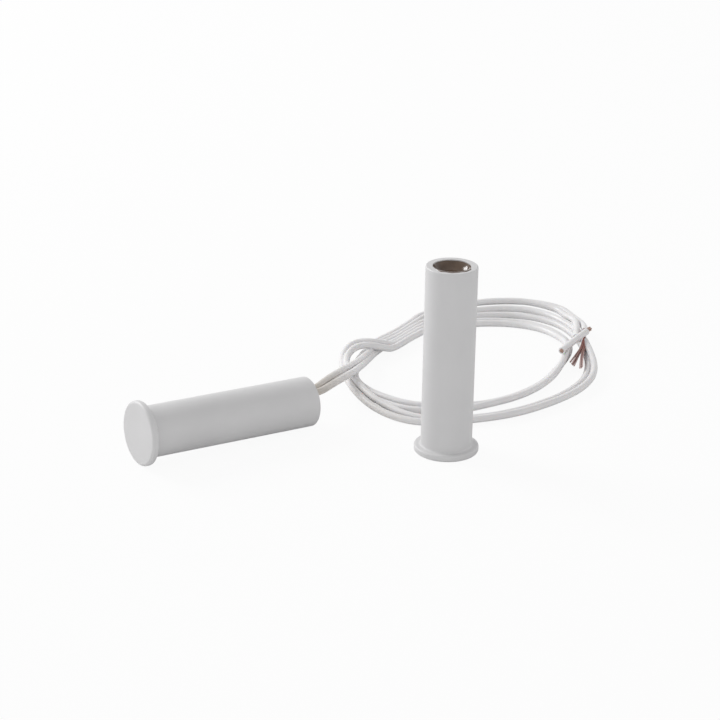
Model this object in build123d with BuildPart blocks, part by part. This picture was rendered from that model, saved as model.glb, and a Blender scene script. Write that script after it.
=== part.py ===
from build123d import *
from math import asin, atan2, cos, hypot, pi, radians, sin, tan
import os

# Recessed magnetic contact: a magnet capsule standing on its head, a switch capsule
# lying beside it, and the switch's two-wire lead in a loose coil on the table.
# Frame: origin at the centre of the magnet capsule's head on the table, +Z up its
# barrel, +X along the lying switch capsule from head to open end. Millimetres.

# Capsule moulding, the same for both halves: sized for a 3/8 inch hole.
barrel_diameter = 9.5
overall_length = 36.0
flange_diameter = 12.0
flange_thickness = 1.8
flange_edge_radius = 0.5
root_fillet = 0.5
rim_radius = 0.25
bore_diameter = 6.9
head_floor = 2.2

# Adhesive that fills each open end, with its hollow top.
adhesive_fit = 0.02
adhesive_recess = 1.0
adhesive_hollow = 0.7

# Magnet half.
magnet_diameter = 6.35
magnet_length = 25.4
magnet_edge_radius = 0.3

# Switch half. Lengths run along its axis.
glass_start = 8.2
glass_length = 14.0
glass_diameter = 2.2
glass_bore_diameter = 1.6
glass_seal = 1.4
glass_end_radius = 0.5
reed_lead_diameter = 0.5
reed_blade_width = 1.3
reed_blade_thickness = 0.2
reed_overlap = 1.2
reed_gap = 0.1
reed_fit = 0.01
front_joint_offset = 1.2
rear_joint_offset = 2.0
solder_diameter = 1.6
solder_length = 2.4
solder_edge_radius = 0.4
link_bend_radius = 0.8
sleeve_wall = 0.22
sleeve_fit = 0.03
sleeve_end_gap = 0.3
plug_gap = 0.2
wire_grip = 3.5

# Lead: two insulated wires with stranded copper cores.
wire_diameter = 1.4
core_diameter = 0.75
wire_fit = 0.03
core_fit = 0.02
wire_exit_height = 1.5
wire_exit_spacing = 1.6
wire_exit_reach = 2.6
core_depth = 1.5
core_stand = 0.1
strand_diameter = 0.25
strand_pitch = 0.27
stub_length = 14.75

# The lying capsule's head and the coil, seen from above.
switch_head_x = -51.7
switch_head_y = 23.3
coil_centre = (31.5, 33.5)
coil_height = 1.5
coil_edge_radius = 0.5
knot_centre = (17.8, 49.2)
knot_length = 10.0
knot_width = 6.6
knot_height = 3.6
knot_edge_radius = 1.2

barrel_radius = barrel_diameter / 2
flange_radius = flange_diameter / 2
bore_radius = bore_diameter / 2
wire_radius = wire_diameter / 2
core_radius = core_diameter / 2
reed_lead_radius = reed_lead_diameter / 2
adhesive_radius = bore_radius - adhesive_fit
adhesive_top = overall_length - adhesive_recess
flange_step = flange_radius - barrel_radius
flange_edge = min(flange_edge_radius, 0.45 * flange_step)
root_edge = min(root_fillet, 0.45 * flange_step)

# The lying capsule rests on the rounded edges of its flange and of its open end.
rest_drop = (flange_radius - flange_edge) - (barrel_radius - rim_radius)
rest_run = (overall_length - rim_radius) - (flange_thickness - flange_edge)
rest_edges = flange_edge - rim_radius
rest_tilt = asin(rest_edges / hypot(rest_run, rest_drop)) + atan2(rest_drop, rest_run)
head_height = (
    flange_edge
    + (flange_thickness - flange_edge) * sin(rest_tilt)
    + (flange_radius - flange_edge) * cos(rest_tilt)
)
switch_axis = (cos(rest_tilt), 0, -sin(rest_tilt))
switch_plane = Plane(
    origin=(switch_head_x, switch_head_y, head_height), x_dir=(0, 1, 0), z_dir=switch_axis
)


def along(plane, x, y, z):
    """A point given across and along a plane's normal."""
    return plane.from_local_coords(Vector(x, y, z))


def section(plane):
    """The plane that holds a half section: across first, then along the normal."""
    return Plane(origin=plane.origin, x_dir=plane.x_dir, z_dir=-plane.y_dir)


def moulding(plane):
    """Plastic thimble: round flange at its closed head, plain barrel, open bore."""
    with BuildPart() as body:
        with BuildSketch(section(plane)):
            with BuildLine():
                Polyline(
                    (0, 0),
                    (flange_radius, 0),
                    (flange_radius, flange_thickness),
                    (barrel_radius, flange_thickness),
                    (barrel_radius, overall_length),
                    (bore_radius, overall_length),
                    (bore_radius, head_floor),
                    (0, head_floor),
                    close=True,
                )
            make_face()
        revolve(axis=Axis(plane.origin, plane.z_dir))
        circles = body.edges().filter_by(GeomType.CIRCLE)
        fillet(circles.filter_by(lambda e: abs(e.radius - flange_radius) < 1e-4), flange_edge)
        circles = body.edges().filter_by(GeomType.CIRCLE)
        ends = circles.filter_by(lambda e: abs(e.radius - barrel_radius) < 1e-4)
        ends = ends.sort_by(Axis(plane.origin, plane.z_dir))
        fillet(ends[0], root_edge)
        fillet(ends[-1], rim_radius)
    return body.part


def fill(plane, start):
    """Adhesive in the bore, from start to its hollow top below the rim."""
    low = adhesive_top - adhesive_hollow
    with BuildPart() as body:
        with BuildSketch(section(plane)):
            with BuildLine():
                Polyline((0, low), (0, start), (adhesive_radius, start), (adhesive_radius, adhesive_top))
                TangentArc((0, low), (adhesive_radius, adhesive_top), tangent=(1, 0))
            make_face()
        revolve(axis=Axis(plane.origin, plane.z_dir))
    return body.part


# Magnet half: bar magnet on the floor of the bore, adhesive over it.
with BuildPart() as magnet_housing:
    add(moulding(Plane.XY))

with BuildPart() as magnet:
    with BuildSketch(Plane.XY.offset(head_floor)):
        Circle(magnet_diameter / 2)
    extrude(amount=magnet_length)
    fillet(magnet.edges().filter_by(GeomType.CIRCLE), magnet_edge_radius)

with BuildPart() as magnet_adhesive:
    add(fill(Plane.XY, head_floor + magnet_length))

# Switch half.
with BuildPart() as switch_housing:
    add(moulding(switch_plane))

# Where the pieces lie across the bore: x sideways, y up. The reed lies under the first
# wire's core and the return conductor beside the second wire's, with solder between.
lap = core_radius + reed_lead_radius + core_fit
core_a_at = (wire_exit_spacing / 2, wire_exit_height)
core_b_at = (-wire_exit_spacing / 2, wire_exit_height)
reed_at = (core_a_at[0], core_a_at[1] - lap)
link_at = (core_b_at[0] - 0.6 * lap, core_b_at[1] - 0.8 * lap)

# And along it.
glass_end = glass_start + glass_length
front_joint = glass_start - front_joint_offset - solder_length
rear_joint = glass_end + rear_joint_offset
rear_joint_end = rear_joint + solder_length
plug_start = rear_joint_end + plug_gap
insulation_start = adhesive_top - wire_grip
glass_middle = glass_start + glass_length / 2

with BuildPart() as reed_glass:
    with BuildSketch(switch_plane.offset(glass_start)):
        with Locations(reed_at):
            Circle(glass_diameter / 2)
    extrude(amount=glass_length)
    fillet(reed_glass.edges().filter_by(GeomType.CIRCLE), glass_end_radius)
    with BuildSketch(switch_plane.offset(glass_start + glass_seal)):
        with Locations(reed_at):
            Circle(glass_bore_diameter / 2)
    extrude(amount=glass_length - 2 * glass_seal, mode=Mode.SUBTRACT)
    with BuildSketch(switch_plane.offset(glass_start)):
        with Locations(reed_at):
            Circle(reed_lead_radius + reed_fit)
    extrude(amount=glass_length, mode=Mode.SUBTRACT)

blade_offset = (reed_gap + reed_blade_thickness) / 2
blade_root = 0.3

with BuildPart() as reed_front:
    with BuildSketch(switch_plane.offset(front_joint)):
        with Locations(reed_at):
            Circle(reed_lead_radius)
    extrude(amount=glass_start + glass_seal + blade_root - front_joint)
    with BuildSketch(switch_plane.offset(glass_start + glass_seal)):
        with Locations((reed_at[0], reed_at[1] + blade_offset)):
            Rectangle(reed_blade_width, reed_blade_thickness)
    extrude(amount=glass_middle + reed_overlap / 2 - glass_start - glass_seal)

with BuildPart() as reed_rear:
    with BuildSketch(switch_plane.offset(rear_joint_end)):
        with Locations(reed_at):
            Circle(reed_lead_radius)
    extrude(amount=-(rear_joint_end - glass_end + glass_seal + blade_root))
    with BuildSketch(switch_plane.offset(glass_end - glass_seal)):
        with Locations((reed_at[0], reed_at[1] - blade_offset)):
            Rectangle(reed_blade_width, reed_blade_thickness)
    extrude(amount=-(glass_end - glass_seal - glass_middle + reed_overlap / 2))

# The return conductor comes back past the glass from the front joint.
link_end_x = reed_at[0] - reed_lead_radius - core_fit
with BuildPart() as return_conductor:
    with BuildLine() as link_line:
        FilletPolyline(
            along(switch_plane, link_at[0], link_at[1], rear_joint_end),
            along(switch_plane, link_at[0], link_at[1], front_joint + solder_length / 2),
            along(switch_plane, link_end_x, reed_at[1], front_joint + solder_length / 2),
            radius=link_bend_radius,
        )
    with BuildSketch(switch_plane.offset(rear_joint_end)):
        with Locations(link_at):
            Circle(reed_lead_radius)
    sweep(path=link_line.line)

with BuildPart() as return_sleeve:
    with BuildSketch(switch_plane.offset(front_joint + solder_length + sleeve_end_gap)):
        with Locations(link_at):
            Circle(reed_lead_radius + sleeve_fit + sleeve_wall)
            Circle(reed_lead_radius + sleeve_fit, mode=Mode.SUBTRACT)
    extrude(amount=rear_joint - front_joint - solder_length - 2 * sleeve_end_gap)

with BuildPart() as core_in_a:
    with BuildSketch(switch_plane.offset(rear_joint)):
        with Locations(core_a_at):
            Circle(core_radius)
    extrude(amount=insulation_start - rear_joint)

with BuildPart() as core_in_b:
    with BuildSketch(switch_plane.offset(rear_joint)):
        with Locations(core_b_at):
            Circle(core_radius)
    extrude(amount=insulation_start - rear_joint)


def solder(at, start):
    """Rounded drop of solder along the capsule's axis."""
    with BuildPart() as drop:
        with BuildSketch(switch_plane.offset(start)):
            with Locations(at):
                Circle(solder_diameter / 2)
        extrude(amount=solder_length)
        fillet(drop.edges().filter_by(GeomType.CIRCLE), solder_edge_radius)
    return drop.part


with BuildPart() as solder_front:
    add(solder(reed_at, front_joint))
    add(reed_front.part, mode=Mode.SUBTRACT)
    add(return_conductor.part, mode=Mode.SUBTRACT)

with BuildPart() as solder_a:
    add(solder(((core_a_at[0] + reed_at[0]) / 2, (core_a_at[1] + reed_at[1]) / 2), rear_joint))
    add(reed_rear.part, mode=Mode.SUBTRACT)
    add(core_in_a.part, mode=Mode.SUBTRACT)

with BuildPart() as solder_b:
    add(solder(((core_b_at[0] + link_at[0]) / 2, (core_b_at[1] + link_at[1]) / 2), rear_joint))
    add(return_conductor.part, mode=Mode.SUBTRACT)
    add(core_in_b.part, mode=Mode.SUBTRACT)

with BuildPart() as switch_adhesive:
    add(fill(switch_plane, plug_start))
    with BuildSketch(switch_plane.offset(plug_start)):
        with Locations(core_a_at, core_b_at):
            Circle(core_radius + core_fit)
    extrude(amount=insulation_start - plug_start, mode=Mode.SUBTRACT)
    with BuildSketch(switch_plane.offset(insulation_start)):
        with Locations(core_a_at, core_b_at):
            Circle(wire_radius + wire_fit)
    extrude(amount=overall_length - insulation_start, mode=Mode.SUBTRACT)

# Lead. Each wire leaves the adhesive along the capsule's axis, bends away over the
# coil's near side and goes down to the wrap that ties the coil.
wire_a_route = [
    along(switch_plane, *core_a_at, insulation_start),
    along(switch_plane, *core_a_at, overall_length + wire_exit_reach - adhesive_recess),
    Vector(-8.65, 27.95, 6.1),
    Vector(-2.6, 32.1, 5.05),
    Vector(3.3, 36.8, 3.9),
    Vector(7.45, 40.95, 2.9),
    Vector(10.75, 44.45, 2.0),
    Vector(14.05, 47.75, 2.0),
]
wire_b_route = [
    along(switch_plane, *core_b_at, insulation_start),
    along(switch_plane, *core_b_at, overall_length + wire_exit_reach - adhesive_recess),
    Vector(-7.75, 26.85, 5.3),
    Vector(-1.8, 31.1, 4.35),
    Vector(4.3, 35.8, 3.5),
    Vector(8.55, 39.85, 2.9),
    Vector(11.85, 43.35, 2.0),
    Vector(15.15, 46.65, 2.0),
]
# The two ends leave the coil side by side and pass back over it.
tail_a_route = [
    Vector(62.16, 44.33, 0.75),
    Vector(61.54, 40.78, 0.75),
    Vector(59.9, 37.2, 2.0),
    Vector(56.9, 33.0, 2.35),
    Vector(53.7, 29.2, 2.25),
]
tail_b_route = [
    Vector(63.64, 44.07, 0.75),
    Vector(63.02, 40.52, 0.75),
    Vector(61.2, 36.9, 1.3),
    Vector(59.2, 33.7, 2.1),
    Vector(57.3, 30.9, 2.35),
]


def bends(route):
    """Arc radius at each inner point: 0.45 of the shorter run over the half turn."""
    radii = []
    for before, at, after in zip(route, route[1:], route[2:]):
        run_in = at - before
        run_out = after - at
        turn = radians(run_in.get_angle(run_out))
        radii.append(0.45 * min(run_in.length, run_out.length) / tan(turn / 2))
    return radii


def tube(name, route, radius):
    """Round tube along straight runs joined by tangent arcs."""
    radii = bends(route)
    print(name, "arc radii", [round(r, 1) for r in radii])
    with BuildPart() as body:
        with BuildLine() as line:
            FilletPolyline(*route, radius=radii)
        with BuildSketch(Plane(origin=route[0], z_dir=route[1] - route[0])):
            Circle(radius)
        sweep(path=line.wires()[0])
    length = line.wires()[0].length
    share = body.part.volume / (length * pi * radius**2)
    print(name, "length", round(length, 1), "volume over section times length", round(share, 4))
    return body.part


with BuildPart() as wire_a:
    add(tube("wire_a", wire_a_route, wire_radius))

with BuildPart() as wire_b:
    add(tube("wire_b", wire_b_route, wire_radius))

# The coil: outer shape of two turns and the start of a third, from the wrap round to
# the two loose ends. Radii every 30 degrees about the coil's centre.
outer_radii = [38.0, 34.6, 26.4, 24.2, 28.9, 31.8, 37.4, 31.9, 26.9, 25.3, 25.0, 26.9]
inner_radii = [21.3, 21.7, 19.4, 17.6, 15.9, 23.2, 28.1, 27.7, 23.3, 18.8, 17.0, 17.8]
end_face_middle = (62.9, 44.2)
end_face_turn = -10.0
end_face_outer = 3.0
end_face_inner = 2.4
knot_turn = -8.0


def polar(radius, angle):
    return (
        coil_centre[0] + radius * cos(radians(angle)),
        coil_centre[1] + radius * sin(radians(angle)),
    )


end_dir = (cos(radians(end_face_turn)), sin(radians(end_face_turn)))
end_a = (
    end_face_middle[0] + end_face_outer * end_dir[0],
    end_face_middle[1] + end_face_outer * end_dir[1],
)
end_b = (
    end_face_middle[0] - end_face_inner * end_dir[0],
    end_face_middle[1] - end_face_inner * end_dir[1],
)
notch_plane = Plane(
    origin=(wire_a_route[-1] + wire_b_route[-1]) / 2, z_dir=wire_a_route[-2] - wire_a_route[-1]
)

with BuildPart() as lead_coil:
    with BuildSketch():
        with BuildLine():
            Spline(end_a, *[polar(r, 30 + 30 * i) for i, r in enumerate(outer_radii)], end_b)
            Line(end_b, end_a)
        make_face()
        with BuildLine():
            Spline(*[polar(r, 30 * i) for i, r in enumerate(inner_radii)], periodic=True)
        make_face(mode=Mode.SUBTRACT)
    extrude(amount=coil_height)
    fillet(lead_coil.faces().sort_by(Axis.Z)[-1].edges(), coil_edge_radius)
    with BuildSketch():
        with Locations(Location((*knot_centre, 0), (0, 0, knot_turn))):
            SlotOverall(knot_length, knot_width)
    extrude(amount=knot_height)
    fillet(lead_coil.faces().sort_by(Axis.Z)[-1].edges(), knot_edge_radius)
    with BuildSketch(notch_plane):
        Rectangle(4 * wire_diameter, 4 * wire_diameter)
    extrude(amount=3 * wire_diameter, mode=Mode.SUBTRACT)

# One loose end is cut square, with its core in the cut.
tail_a_end = Plane(origin=tail_a_route[-1], z_dir=tail_a_route[-1] - tail_a_route[-2])
with BuildPart() as tail_a:
    add(tube("tail_a", tail_a_route, wire_radius))
    with BuildSketch(tail_a_end):
        Circle(core_radius + core_fit)
    extrude(amount=-core_depth, mode=Mode.SUBTRACT)

with BuildPart() as core_out_a:
    with BuildSketch(tail_a_end.offset(-core_depth)):
        Circle(core_radius)
    extrude(amount=core_depth + core_stand)

# The other is stripped, and its strands splay out over the coil.
with BuildPart() as tail_b:
    add(tube("tail_b", tail_b_route, wire_radius))

tail_b_way = tail_b_route[-1] - tail_b_route[-2]
tail_b_end = Plane(
    origin=tail_b_route[-1], x_dir=tail_b_way.cross(Vector(0, 0, 1)), z_dir=tail_b_way
)
strand_way = Vector(55.3, 28.1, 2.1)
strand_spread = 1.6
# For each strand, its place round the middle one (none for that one) and its tip.
strand_lay = [
    (0, Vector(44.6, 19.4, 1.9)),
    (300, Vector(43.8, 18.0, 2.1)),
    (60, Vector(43.5, 16.9, 1.6)),
    (None, Vector(45.5, 18.0, 1.9)),
    (240, Vector(44.3, 15.9, 2.2)),
    (120, Vector(44.7, 15.3, 1.75)),
    (180, Vector(47.6, 18.4, 1.9)),
]
strands = []
for turn, tip in strand_lay:
    across = (0, 0)
    if turn is not None:
        across = (strand_pitch * cos(radians(turn)), strand_pitch * sin(radians(turn)))
    start = along(tail_b_end, *across, 0)
    way = strand_way + (start - tail_b_end.origin) * strand_spread
    with BuildPart() as strand:
        add(tube(f"strand_{len(strands) + 1}", [start, way, tip], strand_diameter / 2))
    strands.append(strand)

# A straight stub of insulated wire lies across both ends.
stub_plane = Plane(origin=(44.28, 22.19, 3.4), z_dir=(0.878, 0.479, 0))
with BuildPart() as wire_stub:
    with BuildSketch(stub_plane):
        Circle(wire_radius)
        Circle(core_radius + core_fit, mode=Mode.SUBTRACT)
    extrude(amount=stub_length)

with BuildPart() as stub_core:
    with BuildSketch(stub_plane.offset(-core_stand)):
        Circle(core_radius)
    extrude(amount=stub_length + 2 * core_stand)

pieces = {
    "magnet_housing": magnet_housing,
    "magnet": magnet,
    "magnet_adhesive": magnet_adhesive,
    "switch_housing": switch_housing,
    "reed_glass": reed_glass,
    "reed_front": reed_front,
    "reed_rear": reed_rear,
    "return_conductor": return_conductor,
    "return_sleeve": return_sleeve,
    "solder_front": solder_front,
    "solder_a": solder_a,
    "solder_b": solder_b,
    "core_in_a": core_in_a,
    "core_in_b": core_in_b,
    "switch_adhesive": switch_adhesive,
    "wire_a": wire_a,
    "wire_b": wire_b,
    "lead_coil": lead_coil,
    "tail_a": tail_a,
    "core_out_a": core_out_a,
    "tail_b": tail_b,
    "wire_stub": wire_stub,
    "stub_core": stub_core,
}
for i, strand in enumerate(strands):
    pieces[f"strand_{i + 1}"] = strand

os.makedirs("parts", exist_ok=True)
for name, piece in pieces.items():
    piece.part.label = name
    export_step(piece.part, f"parts/{name}.step")
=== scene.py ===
import bmesh
import bpy
from math import cos, pi, radians, sin
from mathutils import Matrix, Vector, noise


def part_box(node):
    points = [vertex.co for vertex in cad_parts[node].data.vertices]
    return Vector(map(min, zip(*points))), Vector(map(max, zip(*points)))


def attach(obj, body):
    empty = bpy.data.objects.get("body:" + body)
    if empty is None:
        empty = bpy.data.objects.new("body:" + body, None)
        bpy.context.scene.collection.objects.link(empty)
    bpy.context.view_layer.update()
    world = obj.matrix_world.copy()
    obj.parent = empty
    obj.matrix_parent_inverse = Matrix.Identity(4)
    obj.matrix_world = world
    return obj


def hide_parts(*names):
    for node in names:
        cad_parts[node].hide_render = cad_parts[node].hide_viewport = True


# Recessed magnetic contact: two pale capsules and a thin two-wire lead in a loose coil.
# Everything is in metres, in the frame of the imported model, but for the pixels of SEEN lists.

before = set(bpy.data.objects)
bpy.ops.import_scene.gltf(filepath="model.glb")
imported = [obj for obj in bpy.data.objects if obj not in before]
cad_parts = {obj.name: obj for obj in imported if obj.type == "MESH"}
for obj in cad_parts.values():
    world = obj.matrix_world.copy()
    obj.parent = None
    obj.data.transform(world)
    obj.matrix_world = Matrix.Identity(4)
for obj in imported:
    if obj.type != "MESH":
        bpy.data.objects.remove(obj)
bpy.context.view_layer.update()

# Camera, fitted to the edges of both capsules in the photograph: its place, turns and lens, and
# the pixel that it points at.
CAMERA_AT = Vector((-0.20872, -0.28860, 0.15793))
CAMERA_AZIMUTH = radians(33.27)
CAMERA_PITCH = radians(21.53)
CAMERA_ROLL = radians(0.94)
CAMERA_LENS = 105.0
SENSOR_WIDTH = 36.0
PHOTO_WIDTH = 720
PHOTO_MIDDLE = (359.54, 359.82)

# Soft light all round: its strength at the horizon and high up, and the sine of the height
# above the horizon where the second begins.
HORIZON_LIGHT = 1.02
ZENITH_LIGHT = 0.5
HIGH_UP = 0.75

# The soft box, from the left and a little behind the part.
KEY_WAY = (-0.4, 0.91, 0.65)
KEY_DISTANCE = 0.8
KEY_SIZE = 0.35
KEY_POWER = 3.4
LIGHT_AIM = Vector((0.0, 0.02, 0.01))

# Floor: half its width, its own grey, and how much of it is plain white to the camera.
FLOOR_HALF = 3.0
FLOOR_GREY = 0.80
FLOOR_WHITE_SHARE = 0.93

# Capsules: the profile that both have, and where the switch capsule lies.
LENGTH = 0.036
BARREL_RADIUS = 0.00475
BORE_RADIUS = 0.00345
BORE_FLOOR = 0.0022
RIM_ROUND = 0.00025
BORE_ROUND = 0.3 * RIM_ROUND
FLANGE_RADIUS = 0.006
FLANGE_THICKNESS = 0.0013
FACE_ROUND = 0.0005
FLANGE_ROUND = 0.00035
CAPSULE_SPOKES = 160
SWITCH_HEAD = Vector((-0.0517, 0.0233, 0.0060435))
SWITCH_TILT = radians(2.0783)

# Set adhesive in the standing capsule's bore: a hollow that rises to an edge on the wall, and
# a smear that laps over the rim on one side, higher than the edge.
ADHESIVE_RADIUS = 0.00343
ADHESIVE_LOW = 0.0344
ADHESIVE_EDGE = 0.0358
ADHESIVE_ROUGHNESS = 0.00016
EDGE_UNEVENNESS = 0.0001
SMEAR_WAY = Vector((-0.45, -0.89, 0)).normalized()
SMEAR_REACH = 0.0007
SMEAR_RISE = 0.00022
SMEAR_THICKNESS = 0.00002
SMEAR_ON_RIM = 0.35

# Set adhesive round the wires where they leave the lying capsule, by its place along x: a
# film that thins out, thicker over a short root.
SLEEVE_START = -0.0167
SLEEVE_END = -0.0138
SLEEVE_ROOT = 0.0009
SLEEVE_ROOT_THICKNESS = 0.00045
SLEEVE_THICKNESS = 0.00008
SLEEVE_ROUGHNESS = 0.00003

# Lead. A strand starts inside the wire's end, and lies a little free of the next.
WIRE_DIAMETER = 0.0014
STRAND_DIAMETER = 0.00032
STRAND_INSIDE = 0.0002
STRAND_STRAIGHT = 0.0008
STRAND_SPACING = 1.05 * STRAND_DIAMETER
COIL_CENTRE = (0.0315, 0.0335)
COIL_STEP = 12.0


# The routes of both wires, A and B, followed along the photograph. In a list with SEEN in its
# name, a point is a column and a row of the photograph, in pixels, and a height. All heights
# and the other lists are in metres.
# Inside the capsule, out of it, and over the coil's near side.
LEAD_A = [
    (-0.02017, 0.0241, 0.0064),
    (-0.0141, 0.0241, 0.0062),
    (-0.00865, 0.02795, 0.0061),
]
LEAD_B = [
    (-0.02017, 0.0225, 0.0064),
    (-0.0141, 0.0225, 0.0062),
    (-0.00775, 0.02685, 0.0055),
]
# On down to the floor beside the crossing, as seen.
LEAD_SEEN_A = [
    (342, 369.7, 0.00425), (351, 365, 0.00375), (359, 360, 0.003),
    (366, 354.3, 0.00225), (373, 348.8, 0.0016), (379.5, 344.9, 0.0012),
    (385, 342.1, 0.00105), (390, 340.1, 0.001), (396, 337.3, 0.001),
    (403, 333.1, 0.001), (411, 328.3, 0.00095),
]
LEAD_SEEN_B = [
    (344, 377, 0.0042), (354, 370.8, 0.0037), (361, 365.4, 0.0027),
    (367, 359.8, 0.0019), (373, 353.6, 0.0013), (379.5, 348.7, 0.00115),
    (385, 345.5, 0.00115), (390, 343.3, 0.00115), (396, 340.4, 0.0012),
    (403, 336.2, 0.0012), (411, 331.3, 0.00115),
]
# The two turns of the coil and the run out to the loose ends: an angle about the centre,
# then the radius and height of the first wire there, and those of the second.
FIRST_TURN = [
    (86, 0.0223, 0.0009, 0.0209, 0.0011),
    (70, 0.0244, 0.00075, 0.0225, 0.00075),
    (53, 0.0286, 0.00075, 0.0249, 0.00075),
    (38, 0.0314, 0.00075, 0.0269, 0.00075),
    (25, 0.031, 0.00075, 0.0276, 0.00075),
    (12, 0.0285, 0.0008, 0.0268, 0.00075),
    (0, 0.0261, 0.0013, 0.025, 0.00075),
    (-12, 0.0242, 0.00185, 0.0236, 0.00075),
    (-22, 0.0233, 0.002, 0.0229, 0.00075),
    (-32, 0.0231, 0.00195, 0.0226, 0.00075),
    (-45, 0.0239, 0.00165, 0.0227, 0.00075),
    (-58, 0.025, 0.00145, 0.0234, 0.00075),
    (-70, 0.0259, 0.00135, 0.0241, 0.00075),
    (-82, 0.02675, 0.0013, 0.025, 0.00075),
    (-96, 0.028, 0.0012, 0.0264, 0.00075),
    (-110, 0.0303, 0.0011, 0.0287, 0.00075),
    (-126, 0.0333, 0.0011, 0.0319, 0.00075),
    (-136, 0.0352, 0.0009, 0.0337, 0.00075),
]
SECOND_TURN = [
    (88, 0.0194, 0.0012, 0.0179, 0.0013),
    (70, 0.0201, 0.00075, 0.0186, 0.00075),
    (52, 0.0215, 0.00075, 0.02, 0.00075),
    (30, 0.0232, 0.00075, 0.0218, 0.00075),
    (15, 0.0232, 0.00075, 0.0219, 0.00095),
    (3, 0.0223, 0.00075, 0.021, 0.0012),
    (-10, 0.0212, 0.00075, 0.0202, 0.0016),
    (-22, 0.0195, 0.00075, 0.0191, 0.00195),
    (-35, 0.0178, 0.00075, 0.018, 0.0021),
    (-48, 0.0169, 0.00075, 0.0176, 0.00195),
    (-60, 0.0169, 0.00075, 0.0178, 0.00175),
    (-75, 0.0177, 0.00075, 0.0188, 0.00155),
    (-88, 0.019, 0.00075, 0.0202, 0.00142),
    (-103, 0.0211, 0.00075, 0.0225, 0.00129),
    (-120, 0.0244, 0.00075, 0.0257, 0.00126),
    (-133, 0.0269, 0.00075, 0.0287, 0.0009),
]
RUN_OUT = [
    (83, 0.0249, 0.0008, 0.0265, 0.00075),
    (76, 0.026, 0.0011, 0.0276, 0.00075),
    (66, 0.0286, 0.0012, 0.0301, 0.00075),
    (53, 0.032, 0.0013, 0.0334, 0.00075),
    (39, 0.0348, 0.0013, 0.0362, 0.00075),
    (31, 0.0352, 0.0012, 0.0366, 0.00075),
    (24, 0.0344, 0.0009, 0.0358, 0.00075),
]
# The first turn's end, up round the left side and over the other wires, as seen.
OVER_SEEN_A = [
    (420, 421.9, 0.00075), (403, 419.2, 0.00075), (388, 414.4, 0.0008),
    (376, 408.6, 0.001), (366, 401.6, 0.0013), (358.2, 394.4, 0.0015),
    (351.8, 387, 0.0016), (346.8, 379, 0.0016), (343.5, 371, 0.0016),
    (341.7, 363, 0.0016), (342.2, 356, 0.0019), (345.4, 349.6, 0.0023),
    (350, 345.1, 0.0026), (356, 342.1, 0.0029), (364, 341.1, 0.0031),
    (372, 341.6, 0.003), (380, 342.4, 0.00255), (385.5, 343.5, 0.0021),
    (391, 344.6, 0.00165), (396, 343.1, 0.0015), (403, 339, 0.00145),
    (411, 334.2, 0.00135),
]
OVER_SEEN_B = [
    (422, 418, 0.0008), (406, 414.6, 0.00085), (392, 408.8, 0.001),
    (380, 402.2, 0.0013), (370, 395.4, 0.0018), (361.5, 387.5, 0.00215),
    (354.2, 379, 0.00215), (348.5, 370.8, 0.00215), (345.5, 363, 0.00215),
    (346.4, 356.6, 0.0024), (349.8, 351.3, 0.0027), (354.8, 347.3, 0.003),
    (361, 345.2, 0.0032), (367.5, 344.9, 0.0032), (373, 345.6, 0.003),
    (378.5, 346.6, 0.00265), (384, 347.7, 0.00215), (389.5, 348.4, 0.00175),
    (395, 346.8, 0.0016), (402, 342.7, 0.0016), (411, 337, 0.0015),
]
# The second turn's end, under the leads and under the crossing, as seen.
UNDER_SEEN_A = [
    (420, 405.4, 0.00075), (404, 402.9, 0.00075), (389, 398.6, 0.00075),
    (377, 394.4, 0.00075), (367, 389.6, 0.00075), (359.5, 384, 0.00075),
    (354.8, 378.2, 0.00075), (354.4, 372.5, 0.0008), (357, 367, 0.0009),
    (361, 361.5, 0.001), (364.7, 356.4, 0.001), (368.5, 351.5, 0.00095),
    (373.5, 346.2, 0.00085), (379.5, 342, 0.00085), (385, 339.4, 0.00085),
    (390, 337.1, 0.00085), (396, 334.2, 0.00085), (403, 330.1, 0.00085),
    (411, 325.2, 0.00085),
]
UNDER_SEEN_B = [
    (420, 410.4, 0.00075), (404, 408.6, 0.00075), (389, 404.6, 0.00075),
    (376.5, 400, 0.00075), (366, 394.6, 0.00075), (357.5, 388.4, 0.00075),
    (350.8, 381.8, 0.00075), (349.2, 375, 0.00075), (351.9, 368.5, 0.00075),
    (356, 362.3, 0.00075), (360.3, 356.9, 0.00075), (364, 352.1, 0.00075),
    (368.5, 347.2, 0.00075), (374, 342.6, 0.00075), (379.5, 339.3, 0.00075),
    (385, 336.8, 0.00075), (390, 334.4, 0.00075), (396, 331.2, 0.00075),
    (403, 326.8, 0.00075), (411, 321.6, 0.00075),
]
# The loose ends, in metres.
TAIL_A = [
    (0.0621, 0.0436, 0.00085),
    (0.0615, 0.0404, 0.0012),
    (0.0599, 0.0372, 0.002),
    (0.0569, 0.033, 0.00235),
    (0.0537, 0.0292, 0.00225),
]
TAIL_B = [
    (0.0634, 0.0433, 0.00075),
    (0.0627, 0.0399, 0.00075),
    (0.0612, 0.0366, 0.0013),
    (0.0592, 0.0335, 0.0021),
    (0.0573, 0.0309, 0.00235),
]

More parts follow.
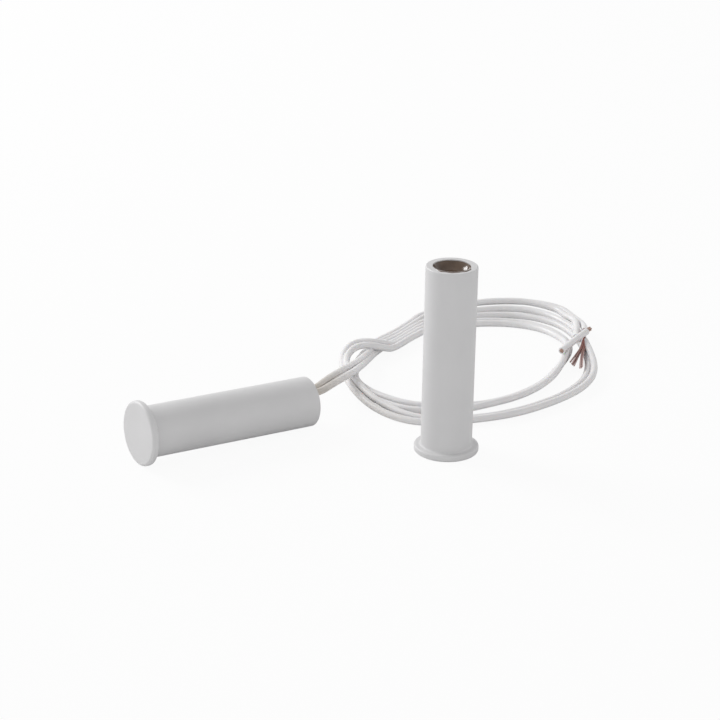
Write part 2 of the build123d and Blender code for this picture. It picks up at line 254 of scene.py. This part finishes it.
# The second wire's bared strands: a place round the middle one, in degrees, and the route.
STRANDS_SEEN = [
    (150, [
        (582.6, 339.5, 0.0023), (580.8, 346.5, 0.00205),
        (576.6, 353, 0.00185), (569.8, 361.8, 0.0017),
    ]),
    (100, [
        (583.4, 339.5, 0.0024), (581.8, 346.5, 0.0022),
        (577.8, 353.4, 0.00195), (571.4, 363.6, 0.0019),
    ]),
    (None, [
        (584, 340, 0.0022), (582.4, 347, 0.0019),
        (578.9, 353.8, 0.0017), (573.6, 365.6, 0.0016),
    ]),
    (200, [
        (583, 340, 0.00195), (581.2, 347.5, 0.0017),
        (577.4, 354.6, 0.0015), (572.2, 364.6, 0.0015),
    ]),
    (40, [
        (584.6, 339.5, 0.0024), (583.3, 346.5, 0.0022),
        (580.6, 353.5, 0.00205), (579.4, 367.9, 0.002),
    ]),
    (270, [
        (585.2, 340, 0.0021), (584.2, 346.5, 0.00185),
        (581.4, 353.5, 0.00175), (580.8, 367.6, 0.00165),
    ]),
    (330, [
        (585.8, 339.5, 0.0023), (585, 346, 0.0021),
        (582.3, 353, 0.0021), (581.9, 366.4, 0.0021),
    ]),
]

# The loose stub of wire that lies across both ends, bared at its far end. Its core is twisted,
# stands a little out of the near end and splays at the far one.
STUB_FROM = Vector((0.04428, 0.02219, 0.0034))
STUB_WAY = Vector((0.878, 0.479, 0)).normalized()
STUB_LENGTH = 0.01475
STUB_BARED = 0.0019
STUB_BOW = 0.00012
STUB_CORE_TWIST = 9.0
STUB_CORE_PROUD = 0.00006
STUB_CORE_REACH = 0.95 * STRAND_DIAMETER
STUB_CORE_SPLAY = 0.15 * STRAND_DIAMETER


def camera_axes():
    """The ways across and up the picture, and ahead: along the azimuth, down and rolled."""
    right = Vector((cos(CAMERA_AZIMUTH), -sin(CAMERA_AZIMUTH), 0))
    level = Vector((sin(CAMERA_AZIMUTH), cos(CAMERA_AZIMUTH), 0))
    ahead = level * cos(CAMERA_PITCH) - Vector((0, 0, sin(CAMERA_PITCH)))
    up = level * sin(CAMERA_PITCH) + Vector((0, 0, cos(CAMERA_PITCH)))
    across = right * cos(CAMERA_ROLL) + up * sin(CAMERA_ROLL)
    top = up * cos(CAMERA_ROLL) - right * sin(CAMERA_ROLL)
    return across, top, ahead


def add_camera():
    """The photograph's view."""
    across, top, ahead = camera_axes()
    camera = bpy.data.objects.new("camera", bpy.data.cameras.new("camera"))
    turn = Matrix((across, top, -ahead)).transposed().to_4x4()
    camera.matrix_world = Matrix.Translation(CAMERA_AT) @ turn
    camera.data.lens = CAMERA_LENS
    camera.data.sensor_width = SENSOR_WIDTH
    camera.data.clip_start = 0.01
    bpy.context.collection.objects.link(camera)
    bpy.context.scene.camera = camera


def seen_line(rows):
    """The places that columns and rows of the photograph show at their heights."""
    across, top, ahead = camera_axes()
    focal = CAMERA_LENS / SENSOR_WIDTH * PHOTO_WIDTH
    points = []
    for column, row, height in rows:
        right = column - PHOTO_MIDDLE[0]
        down = row - PHOTO_MIDDLE[1]
        ray = ahead * focal + across * right - top * down
        at = CAMERA_AT + ray * (height - CAMERA_AT.z) / ray.z
        points.append((round(at.x, 5), round(at.y, 5), height))
    return points


add_camera()


# Materials. A value that is the same all over a surface is set on the shader's own socket.


class Surface:
    """A procedural material: a principled shader and the nodes that feed it."""

    def __init__(self, name, colour, roughness, ior=1.46, **sockets):
        self.material = bpy.data.materials.new(name)
        self.material.use_nodes = True
        self.tree = self.material.node_tree
        self.shader = self.tree.nodes["Principled BSDF"]
        self.shader.inputs["Base Color"].default_value = (*colour, 1)
        self.shader.inputs["Roughness"].default_value = roughness
        self.shader.inputs["IOR"].default_value = ior
        for socket, value in sockets.items():
            self.shader.inputs[socket.replace("_", " ")].default_value = value

    def node(self, kind, **values):
        """A new node, with each value given to its socket or else to its setting."""
        node = self.tree.nodes.new(kind)
        for name, value in values.items():
            if name in node.inputs:
                node.inputs[name].default_value = value
            else:
                setattr(node, name, value)
        return node

    def link(self, out, into):
        """Join an output to an input."""
        self.tree.links.new(out, into)

    def noise(self, scale, detail=3.0, stretch=(1, 1, 1), roughness=0.5):
        """Noise by object coordinates, in turns per metre."""
        place = self.node("ShaderNodeTexCoord")
        mapping = self.node("ShaderNodeMapping")
        mapping.inputs["Scale"].default_value = stretch
        self.link(place.outputs["Object"], mapping.inputs["Vector"])
        texture = self.node("ShaderNodeTexNoise", Scale=scale, Detail=detail, Roughness=roughness)
        self.link(mapping.outputs["Vector"], texture.inputs["Vector"])
        return texture.outputs["Fac"]

    def blend(self, factor, low, high):
        """A colour between two, by a factor that is spread about its middle."""
        ramp = self.node("ShaderNodeValToRGB")
        ramp.color_ramp.elements[0].position = 0.3
        ramp.color_ramp.elements[0].color = (*low, 1)
        ramp.color_ramp.elements[1].position = 0.7
        ramp.color_ramp.elements[1].color = (*high, 1)
        self.link(factor, ramp.inputs["Fac"])
        return ramp.outputs["Color"]

    def along(self, axis, start, end):
        """A factor that goes from 0 to 1 between two places on an axis of the object."""
        place = self.node("ShaderNodeTexCoord")
        parts = self.node("ShaderNodeSeparateXYZ")
        self.link(place.outputs["Object"], parts.inputs[0])
        spread = self.node("ShaderNodeMapRange")
        spread.inputs["From Min"].default_value = start
        spread.inputs["From Max"].default_value = end
        self.link(parts.outputs[axis], spread.inputs["Value"])
        return spread.outputs["Result"]

    def shade(self, axis, places, colours):
        """Colours at places along an axis of the object, smooth between them."""
        ramp = self.node("ShaderNodeValToRGB")
        ramp.color_ramp.elements.new(0.5)
        first, last = places[0], places[-1]
        for element, place, colour in zip(ramp.color_ramp.elements, places, colours):
            element.position = (place - first) / (last - first)
            element.color = (*colour, 1)
        self.link(self.along(axis, first, last), ramp.inputs["Fac"])
        return ramp.outputs["Color"]

    def vary_colour(self, factor, low, high):
        """Let the surface's colour wander between two."""
        self.link(self.blend(factor, low, high), self.shader.inputs["Base Color"])

    def vary_roughness(self, factor, low, high):
        """Let the surface's roughness wander between two values."""
        spread = self.node("ShaderNodeMapRange")
        spread.inputs["From Min"].default_value = 0.3
        spread.inputs["From Max"].default_value = 0.7
        spread.inputs["To Min"].default_value = low
        spread.inputs["To Max"].default_value = high
        self.link(factor, spread.inputs["Value"])
        self.link(spread.outputs["Result"], self.shader.inputs["Roughness"])

    def bump(self, factor, height, strength=1.0):
        """Fine unevenness of a height, too small to be shaped."""
        node = self.node("ShaderNodeBump", Strength=strength, Distance=height)
        self.link(factor, node.inputs["Height"])
        self.link(node.outputs["Normal"], self.shader.inputs["Normal"])


def housing_material():
    """Pale moulded plastic, satin, with the faint grain of its mould."""
    s = Surface("housing", (0.71, 0.705, 0.71), 0.42)
    cloud = s.noise(120, 4)
    s.vary_colour(cloud, (0.695, 0.69, 0.695), (0.725, 0.72, 0.725))
    s.vary_roughness(s.noise(900, 3), 0.38, 0.48)
    s.bump(s.noise(2600, 3), 0.00002, 0.5)
    return s.material


def wire_material():
    """Smooth white insulation, a little soft in the light, stained where it is set in, and darker
    along the lead and the coil's left crossing as painted shade.
    """
    s = Surface("wire_insulation", (0.84, 0.83, 0.835), 0.36, Subsurface_Weight=0.1)
    s.shader.inputs["Subsurface Radius"].default_value = (0.0006, 0.0005, 0.0004)
    s.shader.inputs["Subsurface Scale"].default_value = 1.0
    clean = s.blend(s.noise(260, 3), (0.82, 0.81, 0.815), (0.87, 0.86, 0.865))
    # Browner and darker towards the capsule: a real stain at the adhesive, whose long fade out to x =
    # 0.002 is painted shade over the lead and the coil's left crossing.
    exit_stain_and_painted_shade = s.blend(s.noise(420, 4, (0.4, 1.6, 1.6)), (0.46, 0.42, 0.37), (0.66, 0.61, 0.55))
    mix = s.node("ShaderNodeMix", data_type="RGBA")
    s.link(s.along("X", -0.015, 0.002), mix.inputs[0])
    s.link(exit_stain_and_painted_shade, mix.inputs[6])
    s.link(clean, mix.inputs[7])
    s.link(mix.outputs[2], s.shader.inputs["Base Color"])
    s.bump(s.noise(1500, 3), 0.00003, 0.5)
    return s.material


def copper_material():
    """Bare copper, dulled unevenly."""
    s = Surface("copper", (0.50, 0.34, 0.28), 0.38, Metallic=0.75)
    s.vary_colour(s.noise(1800, 4), (0.40, 0.25, 0.20), (0.60, 0.42, 0.35))
    s.bump(s.noise(5000, 2), 0.00001, 0.6)
    return s.material


def strand_material():
    """Bare copper strands, dark red where they leave the wire and paler to their tips."""
    s = Surface("copper_strands", (0.45, 0.26, 0.23), 0.4, Metallic=0.7)
    colours = ((0.42, 0.12, 0.09), (0.38, 0.19, 0.16), (0.66, 0.52, 0.50))
    shaded = s.shade("Y", (0.0285, 0.023, 0.0155), colours)
    s.link(shaded, s.shader.inputs["Base Color"])
    s.vary_roughness(s.noise(2500, 3), 0.3, 0.5)
    s.bump(s.noise(6000, 2), 0.00001, 0.6)
    return s.material


def magnet_adhesive_material():
    """Dark brown set adhesive, glossy and uneven."""
    s = Surface("magnet_adhesive", (0.11, 0.07, 0.045), 0.2, ior=1.52, Coat_Weight=0.5)
    s.vary_colour(s.noise(420, 4), (0.08, 0.04, 0.02), (0.15, 0.095, 0.06))
    s.bump(s.noise(600, 3), 0.00006, 0.6)
    return s.material


def switch_adhesive_material():
    """Brownish translucent set adhesive."""
    s = Surface("switch_adhesive", (0.55, 0.44, 0.33), 0.2, ior=1.5, Coat_Weight=0.5)
    s.shader.inputs["Transmission Weight"].default_value = 0.45
    s.vary_colour(s.noise(500, 4), (0.42, 0.31, 0.22), (0.70, 0.62, 0.53))
    s.bump(s.noise(1500, 3), 0.00015, 0.8)
    return s.material


def inner_metal_material():
    """Plain grey metal of the magnet, the reeds and the solder."""
    s = Surface("inner_metal", (0.42, 0.42, 0.42), 0.4, Metallic=1.0)
    s.vary_colour(s.noise(600, 3), (0.36, 0.36, 0.36), (0.48, 0.48, 0.47))
    s.bump(s.noise(3000, 3), 0.00001, 0.5)
    return s.material


def glass_material():
    """Greenish clear glass of the reed switch."""
    s = Surface("reed_glass", (0.85, 0.93, 0.89), 0.03, ior=1.5, Transmission_Weight=0.9)
    s.bump(s.noise(500, 2), 0.00001, 0.3)
    return s.material


housing = housing_material()
insulation = wire_material()
copper = copper_material()
strand_copper = strand_material()
magnet_glue = magnet_adhesive_material()
switch_glue = switch_adhesive_material()
inner_metal = inner_metal_material()
glass = glass_material()


def smooth_rows(rows, angle):
    """The row at an angle, on a smooth curve through the rows given."""
    at = 1
    while at < len(rows) - 2 and rows[at][0] > angle:
        at += 1
    before, low = rows[max(at - 2, 0)], rows[at - 1]
    high, after = rows[at], rows[min(at + 1, len(rows) - 1)]
    span = high[0] - low[0]
    t = (angle - low[0]) / span
    result = []
    for p0, p1, p2, p3 in zip(before[1:], low[1:], high[1:], after[1:]):
        slope_in = (p2 - p0) / (high[0] - before[0]) * span
        slope_out = (p3 - p1) / (after[0] - low[0]) * span
        result.append(
            (2 * t**3 - 3 * t**2 + 1) * p1
            + (t**3 - 2 * t**2 + t) * slope_in
            + (3 * t**2 - 2 * t**3) * p2
            + (t**3 - t**2) * slope_out
        )
    return result


def turn_points(rows, wire):
    """Points of the first (0) or the second wire (1) along one part of the coil."""
    first, last = rows[0][0], rows[-1][0]
    steps = round((first - last) / COIL_STEP)
    points = []
    for i in range(steps + 1):
        angle = first + (last - first) * i / steps
        radius, height = smooth_rows(rows, angle)[2 * wire:2 * wire + 2]
        x = COIL_CENTRE[0] + radius * cos(radians(angle))
        y = COIL_CENTRE[1] + radius * sin(radians(angle))
        points.append((x, y, height))
    return points


def wire_points(wire, lead, lead_seen, over_seen, under_seen, tail):
    """A whole wire, from its capsule through both turns to its loose end."""
    first, second, out = [turn_points(rows, wire) for rows in (FIRST_TURN, SECOND_TURN, RUN_OUT)]
    down = lead + seen_line(lead_seen)
    return down + first + seen_line(over_seen) + second + seen_line(under_seen) + out + tail


def curve(name, points, diameter, material, resolution=6, sides=6):
    """A round cord: one open smooth spline with the points as its control points."""
    data = bpy.data.curves.new(name, "CURVE")
    data.dimensions = "3D"
    data.bevel_depth = diameter / 2
    data.bevel_resolution = sides
    data.resolution_u = resolution
    data.use_fill_caps = True
    spline = data.splines.new("NURBS")
    spline.points.add(len(points) - 1)
    for point, at in zip(spline.points, points):
        point.co = (*at, 1)
    spline.order_u = 3
    spline.use_endpoint_u = True
    piece = bpy.data.objects.new(name, data)
    data.materials.append(material)
    bpy.context.collection.objects.link(piece)
    return piece


def line_of(piece):
    """The points of a curve's own line."""
    plain = piece.data.copy()
    plain.bevel_depth = 0
    holder = bpy.data.objects.new("measure", plain)
    mesh = bpy.data.meshes.new_from_object(holder)
    points = [v.co.copy() for v in mesh.vertices]
    bpy.data.objects.remove(holder)
    bpy.data.meshes.remove(mesh)
    return points


def line_length(points):
    """The length along a line of points."""
    return sum((b - a).length for a, b in zip(points, points[1:]))


def mesh_piece(name, bm, material):
    """An object from a finished bmesh, smooth shaded."""
    bmesh.ops.recalc_face_normals(bm, faces=bm.faces)
    mesh = bpy.data.meshes.new(name)
    bm.to_mesh(mesh)
    bm.free()
    for face in mesh.polygons:
        face.use_smooth = True
    mesh.materials.append(material)
    piece = bpy.data.objects.new(name, mesh)
    bpy.context.collection.objects.link(piece)
    return piece


def add_tube(bm, path, radius_at, sides):
    """A closed tube along a path, whose radius follows a function of its place and turn."""
    rings = []
    side = None
    for i, at in enumerate(path):
        way = (path[min(i + 1, len(path) - 1)] - path[max(i - 1, 0)]).normalized()
        side = way.orthogonal() if side is None else side
        side = (side - way * side.dot(way)).normalized()
        top = way.cross(side)
        ring = []
        for k in range(sides):
            turn = 2 * pi * k / sides
            out = side * cos(turn) + top * sin(turn)
            ring.append(bm.verts.new(at + out * radius_at(i, at, out)))
        rings.append(ring)
    for low, high in zip(rings, rings[1:]):
        for k in range(sides):
            bm.faces.new((low[k], low[(k + 1) % sides], high[(k + 1) % sides], high[k]))
    bm.faces.new(rings[0])
    bm.faces.new(rings[-1])


# The lead comes before the other pieces, because some of them start at its ends.
route_a = wire_points(0, LEAD_A, LEAD_SEEN_A, OVER_SEEN_A, UNDER_SEEN_A, TAIL_A)
route_b = wire_points(1, LEAD_B, LEAD_SEEN_B, OVER_SEEN_B, UNDER_SEEN_B, TAIL_B)
wire_a = curve("lead_wire_a", route_a, WIRE_DIAMETER, insulation)
wire_b = curve("lead_wire_b", route_b, WIRE_DIAMETER, insulation)
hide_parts("wire_a", "lead_coil", "tail_a")
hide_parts("wire_b", "tail_b")


def corner(at, before, after, radius, steps=7):
    """Points of the arc that rounds a square corner of a profile, and one close beyond each end."""
    beyond = radius * 0.15
    arrive = (at - before).normalized()
    leave = (after - at).normalized()
    middle = at - arrive * radius + leave * radius
    arc = []
    for i in range(steps + 1):
        angle = pi / 2 * i / steps
        arc.append(middle - leave * radius * cos(angle) + arrive * radius * sin(angle))
    return [arc[0] - arrive * beyond, *arc, arc[-1] + leave * beyond]


def add_capsule(name, node, place):
    """A moulded capsule, turned from its profile: flange, barrel, rim and bore."""
    corners = [
        (0, 0, 0),
        (FLANGE_RADIUS, 0, FACE_ROUND),
        (FLANGE_RADIUS, FLANGE_THICKNESS, FLANGE_ROUND),
        (BARREL_RADIUS, FLANGE_THICKNESS, FLANGE_ROUND),
        (BARREL_RADIUS, LENGTH, RIM_ROUND),
        (BORE_RADIUS, LENGTH, BORE_ROUND),
        (BORE_RADIUS, BORE_FLOOR, RIM_ROUND),
        (0, BORE_FLOOR, 0),
    ]
    profile = []
    for i in range(1, len(corners) - 1):
        before, at, after = [Vector(corners[j][:2]) for j in (i - 1, i, i + 1)]
        profile += corner(at, before, after, corners[i][2])
    spokes = CAPSULE_SPOKES
    turns = [2 * pi * k / spokes for k in range(spokes)]
    bm = bmesh.new()
    rings = []
    for r, z in profile:
        rings.append([bm.verts.new((r * cos(turn), r * sin(turn), z)) for turn in turns])
    for low, high in zip(rings, rings[1:]):
        for k in range(spokes):
            bm.faces.new((low[k], low[(k + 1) % spokes], high[(k + 1) % spokes], high[k]))
    for ring, z in ((rings[0], 0.0), (rings[-1], BORE_FLOOR)):
        middle = bm.verts.new((0, 0, z))
        for k in range(spokes):
            bm.faces.new((middle, ring[k], ring[(k + 1) % spokes]))
    bm.transform(place)
    piece = mesh_piece(name, bm, housing)
    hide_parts(node)
    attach(piece, "root")


def add_capsules():
    """The standing magnet capsule, and the lying switch capsule on the edge of its flange."""
    add_capsule("magnet_capsule", "magnet_housing", Matrix.Identity(4))
    along = Vector((cos(SWITCH_TILT), 0, -sin(SWITCH_TILT)))
    across = Vector((0, 1, 0))
    turn = Matrix((along.cross(across) * -1, across, along)).transposed().to_4x4()
    add_capsule("switch_capsule", "switch_housing", Matrix.Translation(SWITCH_HEAD) @ turn)


def add_strands():
    """The bared strands, each from its own place in the second wire's end."""
    line = line_of(wire_b)
    end = line[-1]
    way = (end - line[-3]).normalized()
    side = way.cross(Vector((0, 0, 1))).normalized()
    top = side.cross(way)
    pieces = []
    for i, (turn, route) in enumerate(STRANDS_SEEN):
        off = Vector((0, 0, 0))
        if turn is not None:
            off = (side * cos(radians(turn)) + top * sin(radians(turn))) * STRAND_SPACING
        start = end - way * STRAND_INSIDE + off
        straight = end + way * STRAND_STRAIGHT + off
        points = [start, straight, *seen_line(route)]
        piece = curve(f"bared_strand_{i + 1}", points, STRAND_DIAMETER, strand_copper, 8, 3)
        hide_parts(f"strand_{i + 1}")
        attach(piece, "root")
        pieces.append(piece)
    return pieces


def add_stub():
    """The loose stub: its insulation, very slightly bowed, and the twisted core in it."""
    top = Vector((0, 0, 1))
    side = top.cross(STUB_WAY)
    bow = side * STUB_BOW
    far = STUB_LENGTH - STUB_BARED
    points = [STUB_FROM + STUB_WAY * far * t + bow * 4 * t * (1 - t) for t in (0, 0.3, 0.7, 1)]
    skin = curve("stub_insulation", points, WIRE_DIAMETER, insulation, 12, 8)
    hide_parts("wire_stub")
    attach(skin, "root")
    bm = bmesh.new()
    steps = 40
    for k in range(7):
        path = []
        for i in range(steps + 1):
            t = i / steps
            turn = radians(60 * k) + STUB_CORE_TWIST * t
            reach = 0 if k == 6 else STUB_CORE_REACH + STUB_CORE_SPLAY * t ** 8
            across = side * cos(turn) + top * sin(turn)
            at = STUB_FROM + STUB_WAY * (STUB_LENGTH * t - STUB_CORE_PROUD * (1 - t))
            path.append(at + across * reach)
        add_tube(bm, path, lambda i, at, out: STRAND_DIAMETER / 2, 8)
    core = mesh_piece("stub_core_strands", bm, copper)
    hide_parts("stub_core")
    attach(core, "root")
    return [skin, core]


add_capsules()
strands = add_strands()
stub = add_stub()
for wire, route, others in (
    (wire_a, LEAD_A, [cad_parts["core_out_a"], *stub]),
    (wire_b, LEAD_B, strands),
):
    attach(wire, "root")
    length = line_length(line_of(wire))


def over_rim(row, lap, share):
    """The last ring's points, moved part or all of the way out over the rim where it laps."""
    moved = []
    for v in row:
        turn = Vector((v.co.x, v.co.y, 0)).normalized()
        reach = max(0, lap(turn) - SMEAR_ON_RIM) / (1 - SMEAR_ON_RIM)
        out = turn * SMEAR_REACH * reach * share
        moved.append((v.co.x + out.x, v.co.y + out.y, v.co.z + SMEAR_THICKNESS * (1 - share)))
    return moved


def add_magnet_adhesive():
    """The set adhesive over the magnet: a glossy, uneven hollow that has crept up the wall."""
    rings, spokes = 30, 96
    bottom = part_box("magnet_adhesive")[0][2]
    bm = bmesh.new()

    def lap(turn):
        """How far the adhesive laps over the rim, as a share of its most."""
        reach = min(1, max(0, (turn.dot(SMEAR_WAY) - 0.1) / 0.75))
        return reach ** 2 * (3 - 2 * reach) * (0.9 + 0.3 * noise.noise((turn.x * 3, turn.y * 3, 9.0)))

    def height(x, y, share):
        """How high the adhesive stands at a place, by its share of the way to the wall."""
        bump = noise.noise((x * 500, y * 500, 3.1)) + 0.4 * noise.noise((x * 1200, y * 1200, 7.7))
        turn = Vector((x, y, 0)).normalized() if share else Vector((0, 0, 0))
        rise = min(1, 3 * lap(turn))
        uneven = EDGE_UNEVENNESS * noise.noise((turn.x * 2.2, turn.y * 2.2, 5.0))
        edge = ADHESIVE_EDGE + uneven * (1 - rise) + SMEAR_RISE * rise
        low = ADHESIVE_LOW + ADHESIVE_ROUGHNESS * bump
        return low + (edge - low) * share ** 5

    middle = bm.verts.new((0, 0, height(0, 0, 0)))
    rows = []
    for i in range(1, rings + 1):
        share = 1 - (1 - i / rings) ** 1.6
        row = []
        for k in range(spokes):
            x = ADHESIVE_RADIUS * share * cos(2 * pi * k / spokes)
            y = ADHESIVE_RADIUS * share * sin(2 * pi * k / spokes)
            row.append(bm.verts.new((x, y, height(x, y, share))))
        rows.append(row)
    wall = rows[-1]
    rows.append([bm.verts.new(at) for at in over_rim(wall, lap, 0.5)])
    rows.append([bm.verts.new(at) for at in over_rim(wall, lap, 1.0)])
    rows.append([bm.verts.new((v.co.x, v.co.y, bottom)) for v in wall])
    for k in range(spokes):
        bm.faces.new((middle, rows[0][k], rows[0][(k + 1) % spokes]))
    for low, high in zip(rows, rows[1:]):
        for k in range(spokes):
            bm.faces.new((low[k], high[k], high[(k + 1) % spokes], low[(k + 1) % spokes]))
    bm.faces.new(rows[-1])
    fill = mesh_piece("magnet_adhesive_fill", bm, magnet_glue)
    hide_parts("magnet_adhesive")
    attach(fill, "root")


def add_exit_adhesive():
    """Adhesive that has crept along both wires where they leave the switch capsule."""
    bm = bmesh.new()
    for wire in (wire_a, wire_b):
        path = [p for p in line_of(wire) if SLEEVE_START < p.x < SLEEVE_END]
        first = Vector((SLEEVE_START, path[0].y, path[0].z))
        path = [first, first.lerp(path[0], 0.3), first.lerp(path[0], 0.65), *path]

        def radius_at(i, at, out):
            """The film's outer radius, thick at its root and thinning out along the wire."""
            share = min((at.x - SLEEVE_START) / (SLEEVE_END - SLEEVE_START), 1)
            root = max(0, 1 - (at.x - SLEEVE_START) / SLEEVE_ROOT)
            rough = noise.noise((at + out * WIRE_DIAMETER) * 900)
            film = SLEEVE_THICKNESS * (1 - share) + SLEEVE_ROOT_THICKNESS * root ** 2
            return WIRE_DIAMETER / 2 + film + SLEEVE_ROUGHNESS * (1 + rough)

        add_tube(bm, path, radius_at, 28)
    sleeves = mesh_piece("exit_adhesive", bm, switch_glue)
    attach(sleeves, "root")


add_magnet_adhesive()
add_exit_adhesive()


def dress(material, *names):
    """Give CAD nodes that stay as they are their own material."""
    for name in names:
        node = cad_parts[name]
        for slot in node.material_slots:
            slot.material = material


dress(copper, "core_out_a", "return_conductor", "core_in_a", "core_in_b")
dress(insulation, "return_sleeve")
dress(inner_metal, "magnet", "reed_front", "reed_rear", "solder_front", "solder_a", "solder_b")
dress(glass, "reed_glass")
dress(switch_glue, "switch_adhesive")


def add_floor():
    """Plain pale floor: white to the camera, keeping a faint shadow."""
    mesh = bpy.data.meshes.new("floor")
    half = FLOOR_HALF
    corners = [(-half, -half, 0), (half, -half, 0), (half, half, 0), (-half, half, 0)]
    mesh.from_pydata(corners, [], [(0, 1, 2, 3)])
    floor = bpy.data.objects.new("floor", mesh)
    bpy.context.collection.objects.link(floor)
    material = bpy.data.materials.new("floor")
    material.use_nodes = True
    nodes, links = material.node_tree.nodes, material.node_tree.links
    diffuse = nodes["Principled BSDF"]
    diffuse.inputs["Base Color"].default_value = (FLOOR_GREY, FLOOR_GREY, FLOOR_GREY, 1)
    diffuse.inputs["Roughness"].default_value = 0.9
    white = nodes.new("ShaderNodeEmission")
    path = nodes.new("ShaderNodeLightPath")
    share = nodes.new("ShaderNodeMath")
    share.operation = "MULTIPLY"
    share.inputs[1].default_value = FLOOR_WHITE_SHARE
    mix = nodes.new("ShaderNodeMixShader")
    links.new(path.outputs["Is Camera Ray"], share.inputs[0])
    links.new(share.outputs[0], mix.inputs[0])
    links.new(diffuse.outputs[0], mix.inputs[1])
    links.new(white.outputs[0], mix.inputs[2])
    links.new(mix.outputs[0], nodes["Material Output"].inputs["Surface"])
    mesh.materials.append(material)


def add_world():
    """Soft light, brighter near the horizon, with a white background for the camera."""
    world = bpy.data.worlds.new("world")
    bpy.context.scene.world = world
    world.use_nodes = True
    nodes, links = world.node_tree.nodes, world.node_tree.links
    nodes["Background"].inputs["Color"].default_value = (1, 1, 1, 1)
    place = nodes.new("ShaderNodeTexCoord")
    parts = nodes.new("ShaderNodeSeparateXYZ")
    spread = nodes.new("ShaderNodeMapRange")
    spread.inputs["From Min"].default_value = 0.0
    spread.inputs["From Max"].default_value = HIGH_UP
    spread.inputs["To Min"].default_value = HORIZON_LIGHT
    spread.inputs["To Max"].default_value = ZENITH_LIGHT
    links.new(place.outputs["Generated"], parts.inputs[0])
    links.new(parts.outputs["Z"], spread.inputs["Value"])
    links.new(spread.outputs["Result"], nodes["Background"].inputs["Strength"])
    seen = nodes.new("ShaderNodeBackground")
    seen.inputs["Strength"].default_value = 1.0
    path = nodes.new("ShaderNodeLightPath")
    mix = nodes.new("ShaderNodeMixShader")
    links.new(path.outputs["Is Camera Ray"], mix.inputs[0])
    links.new(nodes["Background"].outputs[0], mix.inputs[1])
    links.new(seen.outputs[0], mix.inputs[2])
    links.new(mix.outputs[0], nodes["World Output"].inputs["Surface"])


def add_light(name, direction, distance, size, power):
    """A square soft box that shines on the part from a direction."""
    data = bpy.data.lights.new(name, "AREA")
    data.size = size
    data.energy = power
    light = bpy.data.objects.new(name, data)
    way = Vector(direction).normalized()
    light.location = LIGHT_AIM + way * distance
    light.rotation_euler = way.to_track_quat("Z", "Y").to_euler()
    bpy.context.collection.objects.link(light)


add_floor()
add_world()
add_light("key", KEY_WAY, KEY_DISTANCE, KEY_SIZE, KEY_POWER)

scene = bpy.context.scene
scene.view_settings.view_transform = "Standard"
